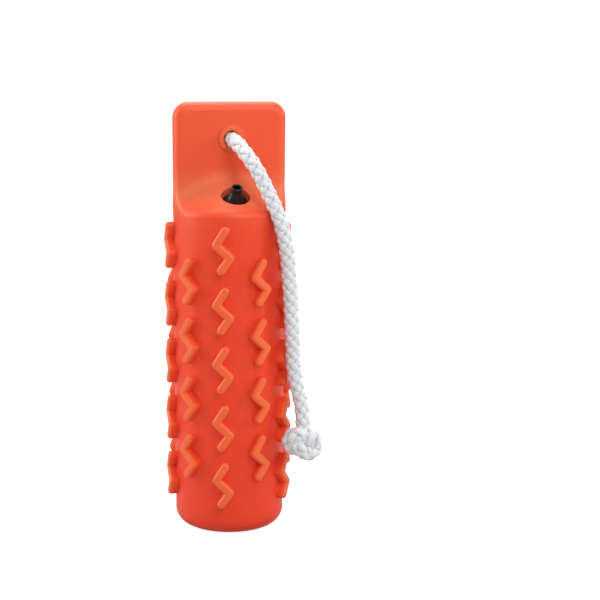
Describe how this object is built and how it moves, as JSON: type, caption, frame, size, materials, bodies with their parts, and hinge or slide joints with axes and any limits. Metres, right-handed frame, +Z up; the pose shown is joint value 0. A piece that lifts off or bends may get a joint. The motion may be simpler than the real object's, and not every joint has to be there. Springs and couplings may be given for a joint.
{
  "type": "retriever training bumper",
  "caption": "Upright hollow training dummy with raised zigzag ribs, a flat hand tab, a shoulder air valve and a braided throw rope with a knotted end.",
  "frame": {"origin": "centre of the flat base", "axes": "+Z up along the body to the hand tab, -Y the side with the air valve, +X to the side where the rope hangs"},
  "size_m": [0.1041, 0.1022, 0.305],
  "materials": {
    "orange_vinyl": "satin",
    "black_rubber": "satin",
    "plug_rubber": "matte",
    "white_rope": "satin"
  },
  "bodies": {
    "bumper": {"body_shell": "orange_vinyl", "valve_boot": "black_rubber", "valve_plug": "plug_rubber"},
    "rope": {"throw_rope": "white_rope", "stopper_knot": "white_rope", "end_knot": "white_rope"}
  },
  "joints": [
    {"name": "rope_swing", "type": "hinge", "parent": "bumper", "child": "rope", "pos_m": [0, 0, 0.2797], "axis": [0, -1, 0], "range_deg": [0, 165]}
  ]
}
